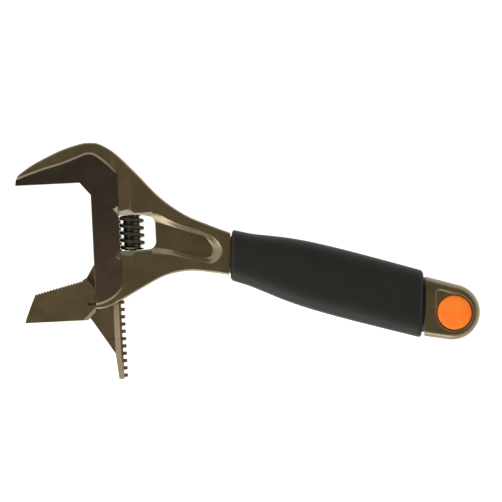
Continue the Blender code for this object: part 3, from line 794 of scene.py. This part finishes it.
# ------------------------------------------------------------------ reversible jaw
ARM_TIP = Vector((-7.8, -49.2))
ARM_ROOT = Vector((13.7, -44.1))
ARM_CORNER = (15.2, -43.1)
SMOOTH_FACE = -62.15
RIDGE = ((-10.6, -56.5), (19.0, -50.7))
SERRATIONS = 16
SERRATION_DEPTH = 0.7
ARM_EDGE = 0.2              # chamfer round the arm
WEB_EDGE = 0.15
SCORE_AT = 18.4             # fine score across web and column, above the column's lower end
SCORE_HALF = 0.25
NICK_LOW = (15.4, -55.5)    # short groove on both faces at the arm's root
NICK_HIGH = (21, -54.1)
NICK_DEPTH = 1.2


def arm():
    """Arm with a serrated pipe face, thinner towards the serrations, and a flat nut face."""
    step = (ARM_ROOT - ARM_TIP) / SERRATIONS
    dip = Vector((step.y, -step.x)).normalized() * SERRATION_DEPTH
    outline = []
    for k in range(SERRATIONS):
        outline.append(tuple(ARM_TIP + step * k))
        outline.append(tuple(ARM_TIP + step * (k + 0.5) + dip))
    side = HEAD_LEFT - GAP
    drop = (side - ARM_CORNER[0]) * THROAT_DROP / (HEAD_LEFT - FACE_RIGHT)
    outline += [tuple(ARM_ROOT), ARM_CORNER, (side, ARM_CORNER[1] - drop), (side, -58.5),
                (15.25, SMOOTH_FACE), (-13.1, SMOOTH_FACE), (-12.2, -59.4), (-10.5, -55.4)]
    shape = both_faces(grown(outline, [(0.0, ARM_HALF - ARM_EDGE), (ARM_EDGE, ARM_EDGE)]))
    a = Vector((*RIDGE[0], ARM_HALF))
    b = Vector((*RIDGE[1], ARM_HALF))
    fall = Vector((*(ARM_TIP + dip), ARM_HALF - 1.3))
    along = Vector((5.4, 5.2, 0))
    heel = Vector((13.1, -62.1, ARM_HALF))
    heel_foot = Vector((15.4, -62.0, ARM_HALF - 1.4))
    for point, normal in ((a, (b - a).cross(fall - a)), (heel, along.cross(heel_foot - heel))):
        if normal.z < 0:
            normal.negate()
        trim(shape, point, normal)
        trim(shape, (point.x, point.y, -point.z), (normal.x, normal.y, -normal.z))
    return shape


def web():
    """Thin web between arm and column, wide where it meets the column."""
    outline = [(ARM_CORNER[0], ARM_CORNER[1] - GAP),
               (WEB_END, ARM_CORNER[1] + (WEB_END - ARM_CORNER[0]) * WEB_SLOPE),
               (WEB_END, WEB_HEEL[1] - (WEB_END - WEB_HEEL[0]) * WEB_SLOPE), WEB_HEEL,
               (ARM_CORNER[0], -60.0)]
    return both_faces(grown(outline, [(0.0, WEB_HALF - WEB_EDGE), (WEB_EDGE, WEB_EDGE)]))


def column():
    low = RACK_END + RACK_TAPER
    high = RACK_TOP - RACK_TAPER
    narrow = RACK_BACK + RACK_NARROW
    return skin([column_section(RACK_END, narrow), column_section(low, RACK_BACK),
                 column_section(high, RACK_BACK), column_section(RACK_TOP, narrow)])


def tooth_space():
    """Outline of one space between the rack's teeth, flared to chamfer the tips beside it."""
    root = RACK_TIP - TOOTH_DEPTH
    half = TOOTH_SPACE / 2
    flare = 0.15
    return [(root + 0.25, -half), (RACK_TIP - flare, -half), (RACK_TIP + 2, -half - 2 - flare),
            (RACK_TIP + 2, half + 2 + flare), (RACK_TIP - flare, half), (root + 0.25, half),
            (root, half - 0.25), (root, 0.25 - half)]


def jaw():
    piece = make("jaw_forging", column())
    count = round((RACK_TOP - RACK_END) / RACK_PITCH)
    for k in range(count + 1):
        middle = RACK_END + k * RACK_PITCH
        outline = [(x, middle + y) for x, y in tooth_space()]
        cut(piece, both_faces(grown(outline, [(0.0, RACK_HALF + 2)])))
    score = RACK_END + SCORE_AT
    outline = [(RACK_BACK - 3.4, WEB_HALF - 0.25), (RACK_BACK, WEB_HALF - 0.25),
               (RACK_BACK + 2.4, RACK_HALF - 0.4), (RACK_TIP - 1, RACK_HALF - 0.25),
               (RACK_TIP - 1, RACK_HALF + 1), (RACK_BACK - 3.4, RACK_HALF + 1)]
    add(piece, web())
    cut(piece, skin([[(x, y, z) for x, z in outline]
                     for y in (score - SCORE_HALF, score + SCORE_HALF)]))
    add(piece, arm())
    for low, high in ((ARM_HALF - NICK_DEPTH, ARM_HALF + 1),
                      (-ARM_HALF - 1, -ARM_HALF + NICK_DEPTH)):
        cut(piece, cuboid((*NICK_LOW, low), (*NICK_HIGH, high)))
    coat(piece, JAW)
    smooth(piece, 6)
    return piece


# ------------------------------------------------------------------ worm, pin, spring
def worm():
    """Worm: one thread that meshes with the rack, knurled on its crest."""
    length = WORM_HIGH.y - WORM_LOW.y
    rows = round(length / RACK_PITCH * 26)
    turns = 144
    root = WORM_RADIUS - THREAD_DEPTH
    phase = (RACK_END - WORM_MID.y) / RACK_PITCH - 0.5
    shape = bmesh.new()
    bmesh.ops.create_grid(shape, x_segments=turns, y_segments=rows, size=0.5)
    for point in shape.verts:
        share = point.co.x + 0.5
        height = point.co.y * length
        cycle = (height / RACK_PITCH - share - phase) % 1.0
        away = min(cycle, 1.0 - cycle) * RACK_PITCH
        rise = min(max((THREAD_FOOT - away) / (THREAD_FOOT - THREAD_CREST), 0.0), 1.0)
        rise = rise * rise * (3 - 2 * rise)
        ridge = 0.5 - 0.5 * math.cos(2 * math.pi * share * KNURLS)
        knurl = KNURL_DEPTH * ridge * (rise ** 4)
        inside = min((length / 2 - abs(height)) / WORM_END, 1.0)
        limit = root + THREAD_DEPTH * math.sqrt(max(1 - (1 - inside) ** 2, 0.0))
        radius = min(root + THREAD_DEPTH * rise - knurl, max(limit, root - 0.2 + inside * 0.2))
        angle = 2 * math.pi * share
        point.co = (radius * math.cos(angle), height, radius * math.sin(angle))
    bmesh.ops.remove_doubles(shape, verts=shape.verts, dist=1e-4)
    bmesh.ops.holes_fill(shape, edges=[e for e in shape.edges if e.is_boundary])
    bmesh.ops.recalc_face_normals(shape, faces=shape.faces)
    move(shape, WORM_MID.x, WORM_MID.y)
    piece = make("knurled_worm", shape)
    bore = turned([(0, 30), (PIN_BORE, 30), (PIN_BORE, -30), (0, -30)])
    cut(piece, move(turn(bore, 90, "X"), WORM_MID.x, WORM_MID.y))
    inner = root - SEAT_WALL
    seat = turned([(0, SPRING_SEAT), (inner, SPRING_SEAT), (inner, -3), (0, -3)])
    cut(piece, move(turn(seat, -90, "X"), WORM_MID.x, WORM_LOW.y))
    coat(piece, BLACKED)
    smooth(piece, 40, weighted=False)
    return piece


# ------------------------------------------------------------------ grip and plug
# share of the length, half width, half thickness
GRIP_SECTIONS = [(0.0, 11.2, 7.6), (0.1, 11.6, 8.0), (0.19, 12.7, 8.45), (0.3, 14.0, 8.7),
                 (0.43, 14.8, 8.86), (0.64, 15.1, 8.87), (1.0, 14.8, 8.5)]


def grip_size(share):
    """Half width and half thickness of the grip at a share of its length."""
    line = smooth_line(GRIP_SECTIONS, 8)
    for a, b in zip(line, line[1:]):
        if share <= b[0]:
            t = (share - a[0]) / (b[0] - a[0])
            return a[1] + (b[1] - a[1]) * t, a[2] + (b[2] - a[2]) * t
    return line[-1][1:]


def grip_ring(along, less, points=96):
    """Section of the grip, made smaller all round by less."""
    half_width, half_thick = grip_size(min(max((along - GRIP_START) / GRIP_LENGTH, 0.0), 1.0))
    ring = []
    for k in range(points):
        angle = 2 * math.pi * (k + 0.5) / points
        c = math.cos(angle)
        s = math.sin(angle)
        aside = (half_width - less) * math.copysign(abs(c) ** (2 / GRIP_SQUARE), c)
        up = (half_thick - less) * math.copysign(abs(s) ** (2 / GRIP_SQUARE), s)
        ring.append((*on_slant(along, aside), up))
    return ring


def grip_sleeve():
    """Soft sleeve, with rounded ends."""
    radius = SLEEVE_ROUND
    turns = [math.radians(angle) for angle in (90, 67.5, 45, 22.5, 0)]
    ends = [(radius * (1 - math.sin(a)), radius * (1 - math.cos(a))) for a in turns]
    places = [GRIP_START + radius + (GRIP_LENGTH - 2 * radius) * k / 48 for k in range(1, 48)]
    rings = [grip_ring(GRIP_START + away, less) for away, less in ends]
    rings += [grip_ring(along, 0) for along in places]
    rings += [grip_ring(GRIP_END - away, less) for away, less in ends[::-1]]
    rings += [grip_ring(GRIP_START + GRIP_LENGTH * k / 24, SLEEVE_WALL) for k in range(24, -1, -1)]
    piece = make("soft_sleeve", skin(rings, closed=True))
    coat(piece, SLEEVE)
    smooth(piece, 40, weighted=False)
    return piece


def grip_core():
    """Hard core over the tang, seen as a groove at each end of the sleeve."""
    first = GRIP_START - CORE_SHOWS[0]
    last = GRIP_END + CORE_SHOWS[1]
    places = [first + (last - first) * k / 24 for k in range(25)]
    rings = [grip_ring(along, SLEEVE_WALL + GAP) for along in places]
    rings += [tang_ring(along, GAP, 96) for along in places[::-1]]
    piece = make("hard_core", skin(rings, closed=True))
    coat(piece, CORE)
    smooth(piece, 40, weighted=False)
    return piece


def plug(name, side):
    """One half of the plug, low-crowned, with its stem towards the other half."""
    top = RECESS_FLOOR + PLUG_PROUD
    profile = [(0, top), (2.5, top - 0.03), (4.8, top - 0.12), (6.4, top - 0.25),
               (PLUG_RADIUS - 0.6, top - 0.36), (PLUG_RADIUS - 0.2, top - 0.5),
               (PLUG_RADIUS, top - 0.8), (PLUG_RADIUS, top - PLUG_RIM),
               (PLUG_STEM, top - PLUG_RIM), (PLUG_STEM, GAP / 2), (0, GAP / 2)]
    shape = turned(profile, 96)
    if side < 0:
        turn(shape, 180, "X")
    piece = make(name, move(shape, *on_handle(PLUG_CENTRE, 0)))
    coat(piece, ORANGE)
    smooth(piece, 50, weighted=False)
    return piece


# ------------------------------------------------------------------ studio
# metres, watts and millimetres of lens
FLOOR_HALF = 2.0
FLOOR_GAP = 0.0001
LAMP_SIZE = (0.9, 0.4)
LAMP_POWER = 4.5
LAMP_PLACE = (-0.25, -0.6, 0.5)
LAMP_AIM = (0.07, -0.03, 0)
DIM_SIDE = (0.6, 0.8, 0.0)  # the tent is a little dimmer on this side
LENS = 300
SENSOR = 36
FIELD_WIDTH = 0.2270
VIEW_MIDDLE = (0.09025, -0.03456)
VIEW_TURN = math.radians(-2.85)


def studio():
    """Pale floor, a tent of light that is darker overhead, and one softbox."""
    low = CAD_BOX[0][2]
    shape = bmesh.new()
    bmesh.ops.create_grid(shape, x_segments=1, y_segments=1, size=FLOOR_HALF)
    mesh = bpy.data.meshes.new("floor")
    bmesh.ops.translate(shape, vec=(0, 0, low - FLOOR_GAP), verts=shape.verts)
    shape.to_mesh(mesh)
    shape.free()
    floor = bpy.data.objects.new("floor", mesh)
    bpy.context.scene.collection.objects.link(floor)
    # a sheet of backlit white acrylic, which hides shadows
    material, shader = new_material("white_floor", {"Roughness": 0.9, "Emission Strength": 0.95})
    shader.inputs["Base Color"].default_value = colour("#bcbcbc")
    shader.inputs["Emission Color"].default_value = colour("#ffffff")
    mesh.materials.append(material)

    world = bpy.data.worlds.new("light_tent")
    bpy.context.scene.world = world
    world.use_nodes = True
    place = put(world, "ShaderNodeTexCoord").outputs["Generated"]
    split = put(world, "ShaderNodeSeparateXYZ", {}, {"Vector": place})
    fall = blend(world, split.outputs["Z"], "#ffffff", "#594d36", 0.5, 0.88)
    side = put(world, "ShaderNodeVectorMath", {"operation": "DOT_PRODUCT", 1: DIM_SIDE},
               {0: place})
    strength = put(world, "ShaderNodeMapRange", {1: -0.7, 2: 0.7, 3: 1.4, 4: 1.25},
                   {0: side.outputs["Value"]})
    back = world.node_tree.nodes["Background"]
    world.node_tree.links.new(fall, back.inputs["Color"])
    world.node_tree.links.new(strength.outputs["Result"], back.inputs["Strength"])

    lamp_data = bpy.data.lights.new("softbox", "AREA")
    lamp_data.shape = "RECTANGLE"
    lamp_data.size, lamp_data.size_y = LAMP_SIZE
    lamp_data.energy = LAMP_POWER
    lamp = bpy.data.objects.new("softbox", lamp_data)
    bpy.context.scene.collection.objects.link(lamp)
    lamp.location = LAMP_PLACE
    aim = Vector(LAMP_AIM) - lamp.location
    lamp.rotation_euler = aim.to_track_quat("-Z", "Y").to_euler()


def camera():
    data = bpy.data.cameras.new("camera")
    data.lens = LENS
    data.sensor_width = SENSOR
    item = bpy.data.objects.new("camera", data)
    bpy.context.scene.collection.objects.link(item)
    item.location = (*VIEW_MIDDLE, FIELD_WIDTH * LENS / SENSOR)
    item.rotation_euler = (0, 0, VIEW_TURN)
    bpy.context.scene.camera = item


def dress(piece, body, slot, *nodes):
    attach(piece, body)
    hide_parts(*nodes)


def main():
    dress(forged_body(), "body", "forged_steel", "body_forging")
    dress(jaw(), "jaw", "jaw_steel", "reversible_jaw")
    dress(worm(), "worm", "worm_steel", "worm")
    dress(grip_sleeve(), "body", "soft_grip", "grip_sleeve")
    dress(plug("orange_plug_front", 1), "body", "plug", "plug_front")
    dress(plug("orange_plug_back", -1), "body", "plug", "plug_back")
    dress(grip_core(), "body", "hard_grip", "grip_core")
    for name, material in (("worm_pin", BRIGHT), ("worm_spring", BRIGHT)):
        mesh = frame["nodes"][name].data
        mesh.materials.clear()
        mesh.materials.append(material)
    studio()
    camera()
    bpy.context.scene.view_settings.view_transform = "Standard"


main()
